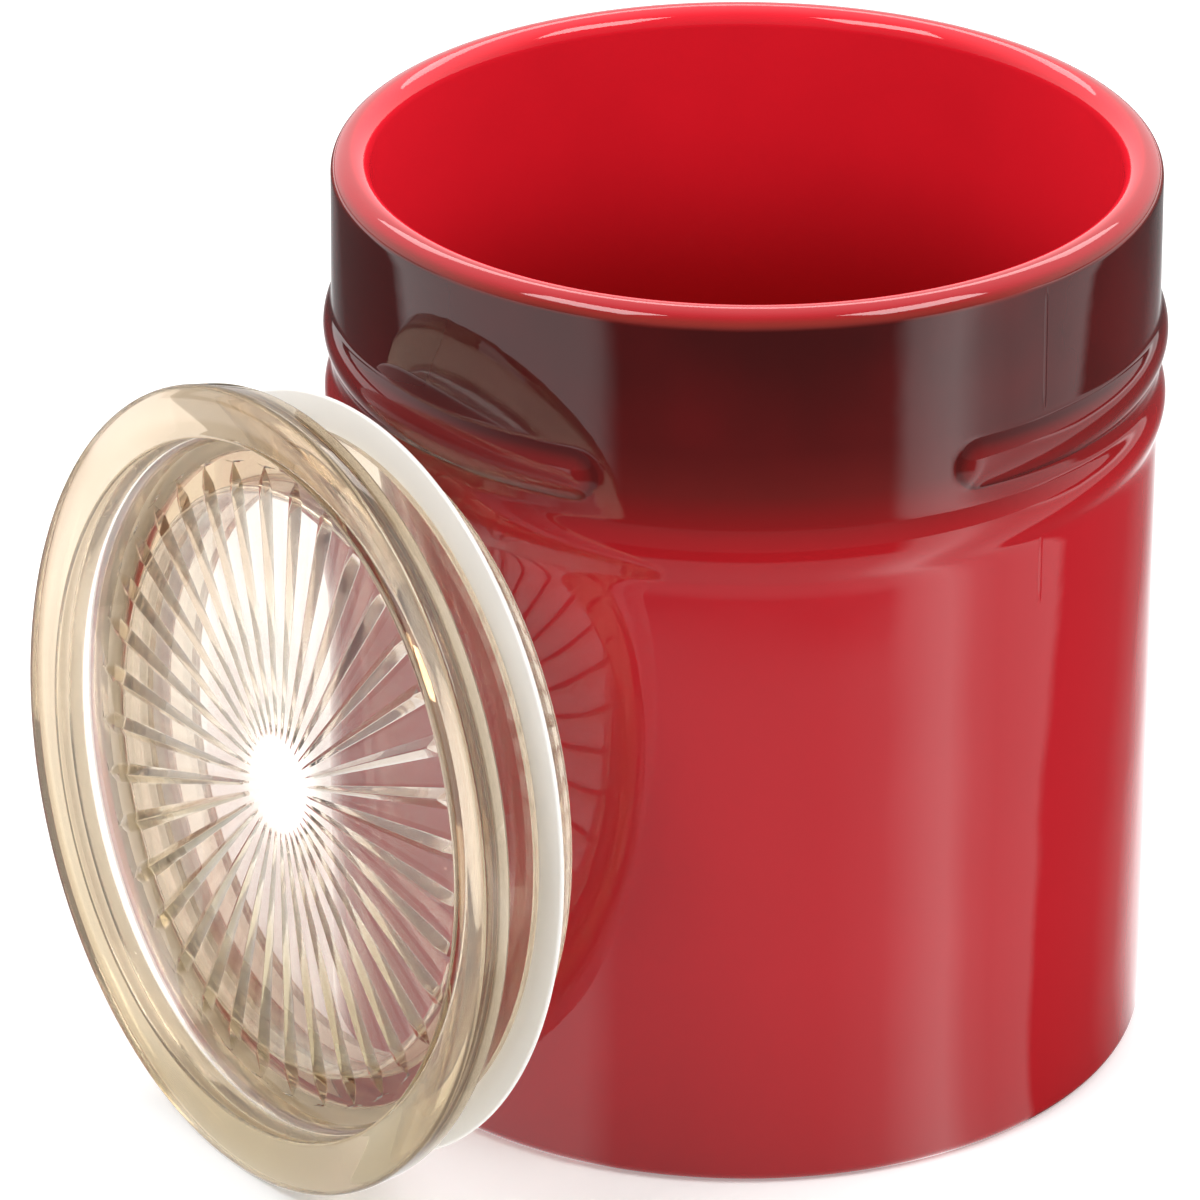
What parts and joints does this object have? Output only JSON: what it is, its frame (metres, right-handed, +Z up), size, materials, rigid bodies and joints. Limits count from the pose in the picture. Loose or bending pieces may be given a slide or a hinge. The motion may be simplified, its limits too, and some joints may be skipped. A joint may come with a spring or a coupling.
{
  "type": "ceramic canister",
  "caption": "Round straight-walled glazed stoneware canister, open at the top, with a pressed-glass lid with a soft seal leaning against its side.",
  "frame": {"origin": "middle of the canister's flat base, on the surface it stands on", "axes": "+Z up the canister's axis, -Y to the front; the lid leans on the front left, towards -X and -Y"},
  "size_m": [0.1769, 0.1698, 0.145],
  "materials": {
    "red_glaze": "deep glossy red glaze, going to dark maroon on the neck",
    "amber_glass": "clear pale amber pressed glass, fire polished",
    "white_silicone": "satin off-white, translucent at its thin edge"
  },
  "bodies": {
    "root": {"canister": "red_glaze", "lid": "amber_glass", "gasket": "white_silicone"}
  },
  "joints": []
}
